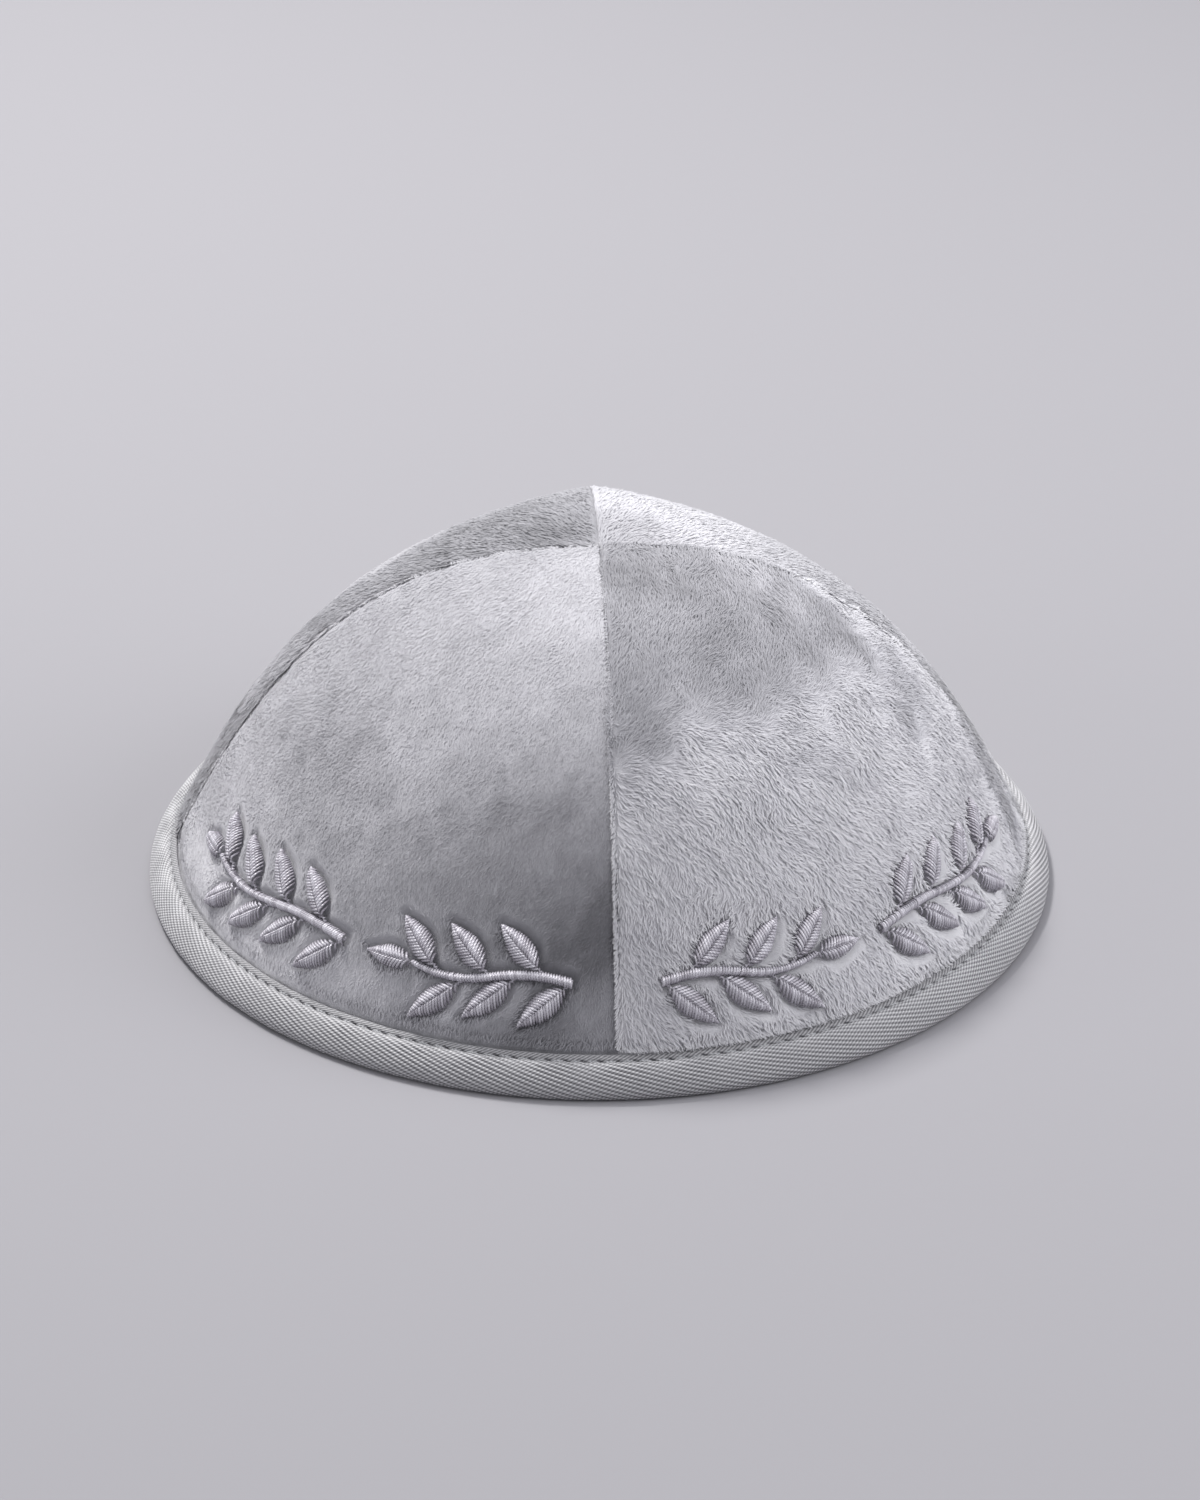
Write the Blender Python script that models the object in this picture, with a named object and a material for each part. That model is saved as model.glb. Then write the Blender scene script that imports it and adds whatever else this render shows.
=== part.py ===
# A round four-panel plush skullcap with a folded tape binding at the rim and an embroidered
# leaf spray on its two front panels. Metres, +Z up. The origin is on the resting plane, on the
# vertical axis of the rim. -Y is the front, and the four seams lie on the X and Y axes.

import bpy
import bmesh
import numpy as np

MM = 0.001

# Crown, measured on the tips of the pile
DOME_HEIGHT = 66.0 * MM
EDGE_RADIUS = 80.3 * MM      # where the plush meets the top edge of the binding
EDGE_HEIGHT = 6.9 * MM
DOME_POWER = 2.57            # height falls from the top as (radius share) ** DOME_POWER
TOP_FLATNESS = 0.80          # middle of a panel against its seams, in radius, near the top
WALL = 2.2 * MM              # cloth with its standing pile
SEAM_GAP = 0.3 * MM
CREASE_DEPTH = 0.9 * MM      # how far the seam sinks below the pile
CREASE_SHARE = 0.045         # its width on each side, as a share of the panel's angle
PANEL_COLUMNS = 16
OUTER_ROWS = 13
INNER_ROWS = 9

# Each seam stands out by this share of the radius near the top, and by none at the edge
SEAM_FULLNESS = {"right": 0.10, "back": 0.32, "left": 0.10, "front": 0.01}

# Panels by the seam where they start, counted anticlockwise from +X
PANELS = {
    "panel_back_right": 0,
    "panel_back_left": 1,
    "panel_front_left": 2,
    "panel_front_right": 3,
}

# Binding: a tape folded round the pressed hem, kicked out a little from the crown
RIM_RADIUS = 85.0 * MM       # widest point of the roll
KICK_ANGLE = np.radians(50)  # of the hem above the horizontal
HEM = 1.0 * MM               # pile pressed flat inside the fold
HEM_LENGTH = 4.7 * MM
TAPE = 1.1 * MM
CLEARANCE = 0.3 * MM
ROLL_RADIUS = 1.85 * MM
ROLL_FLAT = 0.35 * MM        # the roll is pressed flat by this much where it rests
ROLL_START = np.radians(35)  # where the outer leg meets the roll, above the horizontal
TAPE_PUFF = 0.45 * MM        # bulge of the outer leg between its edge and the roll
INNER_LEG_FOOT = 4.0 * MM    # the inner leg is straight from here to its edge
INNER_LEG_RISE = 1.2 * MM    # and ends this much higher than the outer leg
RIM_SEGMENTS = 96

# Embroidery on the front panels, as distances up the panel from the binding's top edge
BRANCH_HEIGHT = 11.6 * MM
BRANCH_SWING = 1.0 * MM      # the stem bends this far to each side, once along its run
STEM_WIDTH = 1.6 * MM
STEM_THICKNESS = 0.6 * MM
STEM_TAPER = 0.45            # share of its width that a stem loses by its end
LEAF_LENGTH = 10.2 * MM
LEAF_WIDTH = 4.3 * MM
LEAF_THICKNESS = 0.9 * MM
LEAF_TILT = np.radians(42)   # between a leaf and its stem
LEAF_PITCH = 4.75 * MM       # along the stem, from a leaf to the next one on its other side
LEAF_STANDOFF = 0.45 * MM    # between a stem's edge and the root of a leaf
END_LEAF = 0.87              # size of the leaf that ends a branch, against the others

# One row for each branch on one front panel, as angles from the front seam in degrees
BRANCHES = (
    {"first": 6.0, "last": 35.5},
    {"first": 39.5, "last": 76.5},
)

COLOURS = {
    "plush": {"base": (0.62, 0.63, 0.66), "roughness": 0.95},
    "tape": {"base": (0.52, 0.53, 0.56), "roughness": 0.80},
    "thread": {"base": (0.68, 0.68, 0.72), "roughness": 0.45},
}
CREASE_ANGLE = np.radians(40)  # sharper edges than this are shaded sharp


def clear_scene():
    for obj in list(bpy.data.objects):
        bpy.data.objects.remove(obj, do_unlink=True)


def make_material(name):
    look = COLOURS[name]
    material = bpy.data.materials.new(name)
    material.use_nodes = True
    shader = material.node_tree.nodes["Principled BSDF"]
    shader.inputs["Base Color"].default_value = (*look["base"], 1.0)
    shader.inputs["Roughness"].default_value = look["roughness"]
    shader.inputs["Metallic"].default_value = 0.0
    return material


def add_object(name, shape, material):
    """An object from a finished bmesh, its faces turned outwards and its edges shaded."""
    bmesh.ops.recalc_face_normals(shape, faces=shape.faces)
    mesh = bpy.data.meshes.new(name)
    shape.to_mesh(mesh)
    shape.free()
    mesh.materials.append(material)
    mesh.shade_smooth()
    mesh.set_sharp_from_angle(angle=CREASE_ANGLE)
    obj = bpy.data.objects.new(name, mesh)
    bpy.context.scene.collection.objects.link(obj)
    return obj


def ease(x):
    """0 to 1 with no slope at either end."""
    x = np.clip(x, 0.0, 1.0)
    return x * x * (3.0 - 2.0 * x)


def dome(share, quarter, turn, inset=0.0):
    """Points of the crown.

    share is the distance from the top as a share of the edge radius, quarter counts the panels
    anticlockwise from +X, and turn goes from 0 at the panel's first seam to 1 at its second.
    The height falls as a power of share. The radius at a seam is share times the edge radius,
    with some fullness, and between two seams it follows an arc through a flatter middle.
    """
    share, turn = np.broadcast_arrays(np.asarray(share, float), np.asarray(turn, float))
    fullness = list(SEAM_FULLNESS.values())
    full = (1.0 - turn) * fullness[quarter] + turn * fullness[(quarter + 1) % 4]
    seam_radius = (EDGE_RADIUS - inset) * share * (1.0 + full * (1.0 - share))
    middle = np.minimum(TOP_FLATNESS + (1.0 - TOP_FLATNESS) * ease(share), 0.99999)
    arc_centre = (1.0 - middle**2) / (2.0 * (np.cos(np.pi / 4) - middle))
    arc_radius = middle - arc_centre
    from_middle = (turn - 0.5) * np.pi / 2
    bulge = arc_centre * np.cos(from_middle)
    bulge = bulge + np.sqrt(arc_radius**2 - (arc_centre * np.sin(from_middle)) ** 2)
    radius = seam_radius * bulge
    angle = (quarter + turn) * np.pi / 2
    height = EDGE_HEIGHT + (DOME_HEIGHT - inset - EDGE_HEIGHT) * (1.0 - share**DOME_POWER)
    return np.stack([radius * np.cos(angle), radius * np.sin(angle), height], axis=-1)


def hem_point(along, out):
    """(radius, height) at a distance down the hem from the tape's top edge, and out from it."""
    radius = EDGE_RADIUS + along * np.cos(KICK_ANGLE) + out * np.sin(KICK_ANGLE)
    height = EDGE_HEIGHT - along * np.sin(KICK_ANGLE) + out * np.cos(KICK_ANGLE)
    return np.array([radius, height])


def hem_faces():
    """How far out from the tape's outer face the hem's outer and inner faces lie."""
    outer_face = -(TAPE + CLEARANCE)
    return outer_face, outer_face - HEM


def sink_at_seam(points, turn):
    """The points of one section moved in towards the crown's middle, most of all at a seam."""
    from_seam = min(turn, 1.0 - turn)
    depth = CREASE_DEPTH * max(0.0, 1.0 - from_seam / CREASE_SHARE) ** 2
    reach = points - np.array([0.0, 0.0, 2.0 * EDGE_HEIGHT])
    return points - depth * reach / np.linalg.norm(reach, axis=1)[:, None]


def panel_section(quarter, turn):
    """Closed section of a panel at one angle, from its outer tip round the hem to its inner tip."""
    outer = dome(0.99 * np.linspace(0.0, 1.0, OUTER_ROWS) ** 0.95, quarter, turn)
    inner = dome(np.linspace(0.975, 0.0, INNER_ROWS), quarter, turn, inset=WALL)
    outer_face, inner_face = hem_faces()
    hem = (
        hem_point(-CLEARANCE, 0.35 * outer_face),
        hem_point(-CLEARANCE, outer_face),
        hem_point(HEM_LENGTH, outer_face),
        hem_point(HEM_LENGTH, inner_face),
        hem_point(0.0, inner_face),
    )
    angle = (quarter + turn) * np.pi / 2
    hem = [(radius * np.cos(angle), radius * np.sin(angle), height) for radius, height in hem]
    return np.concatenate([sink_at_seam(outer, turn), hem, inner])


def make_panel(name, quarter, material):
    """One gore: its section carried from seam to seam, and moved off both seams by half a gap."""
    turns = 0.5 - 0.5 * np.cos(np.pi * np.linspace(0.0, 1.0, PANEL_COLUMNS + 1))
    middle = (quarter + 0.5) * np.pi / 2
    shift = SEAM_GAP / 2 * np.array([np.sign(np.cos(middle)), np.sign(np.sin(middle)), 0.0])

    # Every section starts at the outer tip and ends at the inner tip, which all of them share
    shape = bmesh.new()
    tips = panel_section(quarter, 0.0)[[0, -1]] + shift
    outer_tip, inner_tip = [shape.verts.new(point) for point in tips]
    before = None
    for turn in turns:
        between = panel_section(quarter, turn)[1:-1] + shift
        section = [outer_tip, *(shape.verts.new(point) for point in between), inner_tip]
        if before is None:
            shape.faces.new(section)
        else:
            shape.faces.new((outer_tip, before[1], section[1]))
            for k in range(1, len(section) - 2):
                shape.faces.new((before[k], before[k + 1], section[k + 1], section[k]))
            shape.faces.new((before[-2], inner_tip, section[-2]))
        before = section
    shape.faces.new(before)
    return add_object(name, shape, material)


def tape_section():
    """Closed section of the folded tape, as (radius, height) points."""
    outer_face, inner_face = hem_faces()
    centre = np.array([RIM_RADIUS - ROLL_RADIUS, ROLL_RADIUS - ROLL_FLAT])

    # Down the outer leg with a slight puff, then round the roll, which is level where it rests
    top = hem_point(0.0, 0.0)
    foot = centre + ROLL_RADIUS * np.array([np.cos(ROLL_START), np.sin(ROLL_START)])
    outward = np.array([np.sin(KICK_ANGLE), np.cos(KICK_ANGLE)])
    section = []
    for share in (0.0, 0.25, 0.5, 0.75):
        section.append(top + (foot - top) * share + outward * TAPE_PUFF * np.sin(np.pi * share))
    land = np.arcsin(centre[1] / ROLL_RADIUS)
    for turn in np.linspace(ROLL_START, -land, 5):
        section.append(centre + ROLL_RADIUS * np.array([np.cos(turn), np.sin(turn)]))

    # Up into the inner leg, along a curve that leaves the level ring and the leg without a corner
    pocket_in = inner_face - CLEARANCE
    pocket_out = outer_face + CLEARANCE
    land_end = centre - ROLL_RADIUS * np.array([np.cos(land), np.sin(land)])
    leg_foot = hem_point(INNER_LEG_FOOT, pocket_in - TAPE)
    downhill = np.array([1.0 / np.tan(KICK_ANGLE), -1.0])
    corner = leg_foot + leg_foot[1] * downhill
    for share in np.linspace(0.0, 1.0, 5):
        ends = (1.0 - share) ** 2 * land_end + share**2 * leg_foot
        section.append(ends + 2.0 * share * (1.0 - share) * corner)

    # Over the inner leg's edge, and round the pocket that holds the hem
    section.append(hem_point(-INNER_LEG_RISE, pocket_in - TAPE))
    section.append(hem_point(-INNER_LEG_RISE, pocket_in))
    section.append(hem_point(HEM_LENGTH + CLEARANCE, pocket_in))
    section.append(hem_point(HEM_LENGTH + CLEARANCE, pocket_out))
    section.append(hem_point(0.0, pocket_out))
    return section


def make_binding(name, material):
    """The tape's section spun once about the vertical axis."""
    shape = bmesh.new()
    corners = [shape.verts.new((radius, 0.0, height)) for radius, height in tape_section()]
    edges = [shape.edges.new(pair) for pair in zip(corners, corners[1:] + corners[:1])]
    bmesh.ops.spin(
        shape,
        geom=corners + edges,
        axis=(0.0, 0.0, 1.0),
        cent=(0.0, 0.0, 0.0),
        angle=2.0 * np.pi,
        steps=RIM_SEGMENTS,
        use_merge=True,
    )
    return add_object(name, shape, material)


def share_above_edge(rise):
    """The radius share at a distance up the panel from the binding's top edge."""
    shares = np.linspace(1.0, 0.6, 81)
    line = dome(shares, 0, 0.5)
    steps = np.linalg.norm(np.diff(line, axis=0), axis=1)
    return np.interp(rise, np.concatenate([[0.0], np.cumsum(steps)]), shares)


def branch_radius():
    """The crown's radius halfway up the embroidery, on which distances round it are measured."""
    return EDGE_RADIUS * share_above_edge(BRANCH_HEIGHT)


def on_panel(along, rise, side, lift):
    """Points above a front panel.

    along is the distance round the panel from the front seam, rise the distance up it from the
    binding, side is +1 on the right and -1 on the left, and lift the height above the pile.
    """
    quarter = PANELS["panel_front_right"] if side > 0 else PANELS["panel_front_left"]
    share = share_above_edge(rise)
    from_front = along / branch_radius() / (np.pi / 2)
    turn = from_front if side > 0 else 1.0 - from_front
    step = 0.01
    base = dome(share, quarter, turn)
    upward = dome(share - step, quarter, turn) - base
    sideways = dome(share, quarter, turn + step) - base
    normal = np.cross(sideways, upward)
    normal = normal / np.linalg.norm(normal, axis=-1)[..., None]
    return base + normal * lift[..., None]


def make_relief(name, along, rise, thickness, side, material):
    """A thin raised piece over a grid of places on a front panel, with a level underside."""
    shape = bmesh.new()
    tops = on_panel(along, rise, side, CLEARANCE + thickness)
    unders = on_panel(along, rise, side, np.full_like(thickness, CLEARANCE))
    top = [[shape.verts.new(point) for point in row] for row in tops]
    under = [[shape.verts.new(point) for point in row] for row in unders]
    for grid in (top, under):
        for row, after in zip(grid, grid[1:]):
            for k in range(len(row) - 1):
                shape.faces.new((row[k], row[k + 1], after[k + 1], after[k]))
    rims = []
    for grid in (top, under):
        right = [row[-1] for row in grid[1:-1]]
        left = [row[0] for row in grid[-2:0:-1]]
        rims.append([*grid[0], *right, *grid[-1][::-1], *left])
    upper, lower = rims
    for k in range(len(upper)):
        shape.faces.new((upper[k - 1], upper[k], lower[k], lower[k - 1]))
    return add_object(name, shape, material)


def stem_rise(along, first, last):
    """Rise of a stem's middle, one long sine wave from the first to the last place."""
    return BRANCH_HEIGHT + BRANCH_SWING * np.sin(2 * np.pi * (along - first) / (last - first))


def stem_grid(first, last):
    """Places and thickness over a stem that thins towards its last end."""
    along = np.linspace(first, last, 13)[:, None]
    across = np.array([-0.5, 0.0, 0.5])[None, :]
    share = (along - first) / (last - first)
    width = STEM_WIDTH * (1.0 - STEM_TAPER * share**2)
    places = along + 0.0 * across
    rises = stem_rise(along, first, last) + across * width
    thickness = STEM_THICKNESS * (1.0 - 1.6 * across**2) + 0.0 * along
    return places, rises, thickness


def leaf_grid(leaf):
    """Places and thickness over a pointed oval that grows from its root along its heading."""
    share = np.linspace(0.0, 1.0, 7)[:, None]
    across = np.array([-0.5, 0.0, 0.5])[None, :]
    width = leaf["size"] * LEAF_WIDTH * np.maximum(0.08, np.sin(np.pi * share**0.8) ** 0.9)
    forward = leaf["size"] * LEAF_LENGTH * share
    sideways = across * width
    heading = leaf["heading"]
    places = leaf["along"] + forward * np.cos(heading) - sideways * np.sin(heading)
    rises = leaf["rise"] + forward * np.sin(heading) + sideways * np.cos(heading)
    thickness = LEAF_THICKNESS * (0.4 + 0.6 * np.sin(np.pi * share)) * (1.0 - 1.8 * across**2)
    return places, rises, thickness


def leaves_of(first, last):
    """The leaves of one branch, alternately below and above its stem, and the one that ends it."""
    leaves = []
    along = first + 0.3 * LEAF_PITCH
    while along < last - 0.3 * LEAF_PITCH:
        upward = 1.0 if len(leaves) % 2 else -1.0
        rise = stem_rise(along, first, last) + upward * (STEM_WIDTH / 2 + LEAF_STANDOFF)
        leaves.append({"along": along, "rise": rise, "heading": upward * LEAF_TILT, "size": 1.0})
        along += LEAF_PITCH
    end = {"along": last + LEAF_STANDOFF, "rise": stem_rise(last, first, last)}
    leaves.append({**end, "heading": 0.0, "size": END_LEAF})
    return leaves


def make_embroidery(material):
    """The stems and leaves of every branch, numbered from the front seam of the left panel."""
    stems = 0
    leaves = 0
    for side in (-1, 1):
        for branch in BRANCHES:
            first = np.radians(branch["first"]) * branch_radius()
            reach = np.radians(branch["last"]) * branch_radius()
            last = reach - END_LEAF * LEAF_LENGTH - LEAF_STANDOFF
            stems += 1
            make_relief(f"branch_stem_{stems}", *stem_grid(first, last), side, material)
            for leaf in leaves_of(first, last):
                leaves += 1
                make_relief(f"branch_leaf_{leaves:02d}", *leaf_grid(leaf), side, material)


def main():
    clear_scene()
    plush = make_material("plush")
    for name, quarter in PANELS.items():
        make_panel(name, quarter, plush)
    make_binding("rim_binding", make_material("tape"))
    make_embroidery(make_material("thread"))


main()
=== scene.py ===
# A round plush skullcap: four gores with a standing pile, a twill tape folded round the rim and
# topstitched, and leaf branches in satin stitch on the two front gores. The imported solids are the
# frame, and the cloth, pile, tape and threads here are worked out in millimetres from their form.

import bpy
import numpy as np
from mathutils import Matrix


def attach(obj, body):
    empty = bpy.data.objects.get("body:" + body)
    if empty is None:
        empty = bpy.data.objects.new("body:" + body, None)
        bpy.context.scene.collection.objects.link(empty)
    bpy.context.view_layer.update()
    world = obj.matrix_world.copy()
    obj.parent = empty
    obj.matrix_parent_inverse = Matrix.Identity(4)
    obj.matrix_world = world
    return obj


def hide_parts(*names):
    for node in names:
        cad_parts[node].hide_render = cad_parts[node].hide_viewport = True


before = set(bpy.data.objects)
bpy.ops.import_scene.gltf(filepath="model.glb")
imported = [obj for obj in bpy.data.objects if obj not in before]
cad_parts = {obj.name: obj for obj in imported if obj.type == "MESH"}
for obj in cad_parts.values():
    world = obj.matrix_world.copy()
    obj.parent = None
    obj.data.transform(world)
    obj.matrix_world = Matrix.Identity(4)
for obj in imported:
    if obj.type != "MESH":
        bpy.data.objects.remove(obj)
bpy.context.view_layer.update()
mm = 0.001
quarterTurn = np.pi / 2

# the crown's form, as the solids have it
crownForm = {
    "height": 66.0,
    "edgeRadius": 80.3,                     # where the plush meets the binding's top edge
    "edgeHeight": 6.9,
    "power": 2.57,                          # height falls as (share of the radius) to this power
    "flatness": 0.80,                       # middle of a gore against its seams, near the top
    "fullness": (0.10, 0.32, 0.10, 0.01),   # right, back, left and front seam
    "creaseDepth": 0.3,
    "creaseReach": 0.035,                   # of a gore's angle, on each side of a seam
    "wall": 2.2,
    "pileDepth": 0.45,                      # from the loose tips in to the dense pile
}


def ease(x):
    # 3x^2 - 2x^3, of x held between 0 and 1
    x = np.clip(x, 0.0, 1.0)
    return x * x * (3.0 - 2.0 * x)


def unit(vectors):
    # each vector over its own length
    return vectors / np.maximum(np.linalg.norm(vectors, axis=-1, keepdims=True), 1e-12)


def softNoise(x, y, seed):
    # random heights from -1 to 1 on the whole numbers of the plane, eased between neighbours, that
    # come again after 64 of them
    again = 64
    table = np.random.default_rng(seed).uniform(-1.0, 1.0, (again, again))
    column = np.floor(x).astype(int)
    row = np.floor(y).astype(int)
    across = ease(x - column)
    down = ease(y - row)

    def alongRow(row):
        left = table[row % again, column % again]
        return left * (1 - across) + table[row % again, (column + 1) % again] * across

    return alongRow(row) * (1 - down) + alongRow(row + 1) * down


def hill(distance, width):
    # e ^ -(distance / width)^2, which is 1 at no distance
    return np.exp(-((distance / width) ** 2))


def turned(x, y, angle):
    # distances along a line at an angle and across it: x cos + y sin and y cos - x sin
    return x * np.cos(angle) + y * np.sin(angle), y * np.cos(angle) - x * np.sin(angle)


def swung(first, second, angle):
    # a way swung by an angle towards another one: first * cos + second * sin
    return first * np.cos(angle)[:, None] + second * np.sin(angle)[:, None]


def atAngle(radius, angle, height):
    # places at a radius and an angle round the middle, and a height
    places = np.broadcast_arrays(radius * np.cos(angle), radius * np.sin(angle), height)
    return np.stack(places, axis=-1)


def crown(share, quarter, turn, inset=0.0):
    # share runs from 0 at the top to 1 at the edge, and turn from 0 to 1 between a gore's seams.
    # radius = (edge radius - inset) * share * (1 + fullness * (1 - share)) * bulge, where bulge is
    # the arc through 1 at both seams and the flatness between them;
    # height = edge height + (height - inset - edge height) * (1 - share ^ power)
    fullness = crownForm["fullness"]
    full = (1.0 - turn) * fullness[quarter] + turn * fullness[(quarter + 1) % 4]
    seamRadius = (crownForm["edgeRadius"] - inset) * share * (1.0 + full * (1.0 - share))
    flatness = crownForm["flatness"]
    middle = np.minimum(flatness + (1.0 - flatness) * ease(share), 0.99999)
    arcCentre = (1.0 - middle**2) / (2.0 * (np.cos(quarterTurn / 2) - middle))
    fromMiddle = (turn - 0.5) * quarterTurn
    bulge = arcCentre * np.cos(fromMiddle)
    bulge = bulge + np.sqrt((middle - arcCentre) ** 2 - (arcCentre * np.sin(fromMiddle)) ** 2)
    angle = (quarter + turn) * quarterTurn
    rise = crownForm["height"] - inset - crownForm["edgeHeight"]
    height = crownForm["edgeHeight"] + rise * (1.0 - share ** crownForm["power"])
    return atAngle(seamRadius * bulge, angle, height)


def crownFrame(share, quarter, turn):
    # a place on the pile's tips, and the unit ways outwards, round the gore and down it, from
    # differences over a small step; at the very top outwards is straight up
    step = 0.002
    near = np.maximum(share, 3.0 * step)
    down = crown(near + step, quarter, turn) - crown(near - step, quarter, turn)
    around = crown(near, quarter, turn + step) - crown(near, quarter, turn - step)
    outward = unit(np.cross(unit(down), unit(around)))
    weight = ease(share / 0.03)[..., None]
    outward = unit(outward * weight + np.array([0.0, 0.0, 1.0]) * (1.0 - weight))
    around = unit(around - outward * (around * outward).sum(-1, keepdims=True))
    return crown(share, quarter, turn), outward, around, np.cross(around, outward)


# distance down the middle of a gore from the top, for each share
slopeShares = np.linspace(0.0, 1.0, 801)
slopeSteps = np.linalg.norm(np.diff(crown(slopeShares, 0, 0.5), axis=0), axis=1)
slopeWay = np.concatenate([[0.0], np.cumsum(slopeSteps)])


def riseAt(share):
    # distance up the gore from the binding
    return slopeWay[-1] - np.interp(share, slopeShares, slopeWay)


def shareAt(rise):
    return np.interp(slopeWay[-1] - rise, slopeWay, slopeShares)


def flatPlace(share, turn):
    # places on a gore laid flat, in millimetres from its middle and down from the top
    x = (turn - 0.5) * quarterTurn * crownForm["edgeRadius"] * share
    return np.broadcast_arrays(x, np.interp(share, slopeShares, slopeWay))


def sinkAtSeam(places, share, turn):
    # moved towards the crown's middle by depth * (1 - distance from the seam / reach) ^ 2, and less
    # towards the top, where the seams meet
    near = np.maximum(0.0, 1.0 - np.minimum(turn, 1.0 - turn) / crownForm["creaseReach"])
    depth = crownForm["creaseDepth"] * near**2 * ease(share / 0.35)
    inward = unit(np.array([0.0, 0.0, 2.0 * crownForm["edgeHeight"]]) - places)
    return places + inward * depth[..., None]


def putObject(name, data, location=(0.0, 0.0, 0.0), rotation=(0.0, 0.0, 0.0)):
    # radians, and metres as everything in the scene
    thing = bpy.data.objects.new(name, data)
    thing.location = location
    thing.rotation_euler = rotation
    bpy.context.scene.collection.objects.link(thing)
    return thing


def putMesh(name, points, faces, material, uvs=None, tone=None, normals=None, second=None):
    # points in millimetres, and an array of faces for each number of corners; uvs holds, for each
    # map's name, a place for every face corner or for every point; second is a second material and
    # the first face that has it
    mesh = bpy.data.meshes.new(name)
    corners = np.concatenate([face.ravel() for face in faces]).astype(np.int32)
    sizes = np.concatenate([np.full(len(face), face.shape[1]) for face in faces])
    mesh.vertices.add(len(points))
    mesh.vertices.foreach_set("co", (points * mm).astype(np.float32).ravel())
    mesh.loops.add(len(corners))
    mesh.loops.foreach_set("vertex_index", corners)
    mesh.polygons.add(len(sizes))
    mesh.polygons.foreach_set("loop_start", (np.cumsum(sizes) - sizes).astype(np.int32))
    mesh.update(calc_edges=True)
    for mapName, places in (uvs or {}).items():
        if len(places) == len(points):
            places = places[corners]
        layer = mesh.uv_layers.new(name=mapName)
        layer.uv.foreach_set("vector", places.astype(np.float32).ravel())
    if tone is not None:
        full = np.concatenate([tone, np.ones((len(tone), 1))], axis=1)
        layer = mesh.color_attributes.new("tone", "FLOAT_COLOR", "POINT")
        layer.data.foreach_set("color", full.astype(np.float32).ravel())
    mesh.materials.append(material)
    if second is not None:
        mesh.materials.append(second[0])
        mesh.polygons.foreach_set("material_index", (np.arange(len(sizes)) >= second[1]).astype(np.int32))
    mesh.validate()
    mesh.shade_smooth()
    if normals is not None:
        mesh.normals_split_custom_set_from_vertices(normals.astype(np.float32))
    return putObject(name, mesh)


def gridFaces(rows, columns, closed=False):
    # four corners from a row to the next and a column to the next; a closed grid joins the last
    # column to the first
    row = np.arange(rows - 1)[:, None] * columns
    column = np.arange(columns if closed else columns - 1)[None, :]
    after = (column + 1) % columns
    corners = [row + column, row + after, row + columns + after, row + columns + column]
    return np.stack(corners, axis=-1).reshape(-1, 4)


def gridCorners(u, v):
    # a map's places at the corners of gridFaces, from u and v that have one more column if closed
    places = np.stack(np.broadcast_arrays(u, v), axis=-1)
    quads = [places[:-1, :-1], places[:-1, 1:], places[1:, 1:], places[1:, :-1]]
    return np.stack(quads, axis=2).reshape(-1, 2)


def bakingMap(count, inCell):
    # a square of the baking map for each of many like shapes, row by row
    cells = int(np.ceil(np.sqrt(count)))
    number = np.arange(count)
    cell = np.stack([number % cells, number // cells], axis=1)[:, None, :]
    return ((cell + inCell) / cells).reshape(-1, 2)


def addNode(tree, kind, inputs=None, **settings):
    # a shader node with its settings, each input given as a value or as another node's output
    node = tree.nodes.new("ShaderNode" + kind)
    for key, value in settings.items():
        setattr(node, key, value)
    for place, value in (inputs or {}).items():
        if isinstance(value, bpy.types.NodeSocket):
            tree.links.new(value, node.inputs[place])
        else:
            node.inputs[place].default_value = value
    return node


def newMaterial(name, sockets):
    material = bpy.data.materials.new(name)
    material.use_nodes = True
    shader = material.node_tree.nodes["Principled BSDF"]
    for place, value in sockets.items():
        shader.inputs[place].default_value = value
    return material, material.node_tree, shader


def mathNode(tree, operation, first, second=0.0, third=0.0):
    inputs = {0: first, 1: second, 2: third}
    return addNode(tree, "Math", inputs, operation=operation).outputs[0]


def addUp(tree, start, *terms):
    # start + each value times its weight
    for value, weight in terms:
        start = mathNode(tree, "MULTIPLY_ADD", value, weight, start)
    return start


def wave(tree, value, pitch):
    # sine, a full turn for every pitch
    return mathNode(tree, "SINE", mathNode(tree, "MULTIPLY", value, 2 * np.pi / pitch))


def toneParts(tree):
    # red, green and blue of the tone attribute
    tone = addNode(tree, "Attribute", attribute_name="tone").outputs["Color"]
    return addNode(tree, "SeparateColor", {0: tone}).outputs


def mapParts(tree, name):
    # the two distances of a flat map
    flat = addNode(tree, "UVMap", uv_map=name).outputs["UV"]
    parts = addNode(tree, "SeparateXYZ", {0: flat}).outputs
    return parts["X"], parts["Y"]


def noiseNode(tree, scale, detail=2.0, roughness=0.5, where=None):
    # soft noise on the piece's own coordinates, or on the given ones
    if where is None:
        where = addNode(tree, "TexCoord").outputs["Object"]
    inputs = {"Vector": where, "Scale": scale, "Detail": detail, "Roughness": roughness}
    return addNode(tree, "TexNoise", inputs).outputs["Fac"]


def colourRamp(tree, factor, stops):
    # stops are (place, linear colour) from dark to light
    node = addNode(tree, "ValToRGB", {"Fac": factor})
    ramp = node.color_ramp
    for place, colour in stops[1:-1]:
        ramp.elements.new(place).color = (*colour, 1.0)
    for element, (place, colour) in ((ramp.elements[0], stops[0]), (ramp.elements[-1], stops[-1])):
        element.position = place
        element.color = (*colour, 1.0)
    return node.outputs["Color"]


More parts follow.
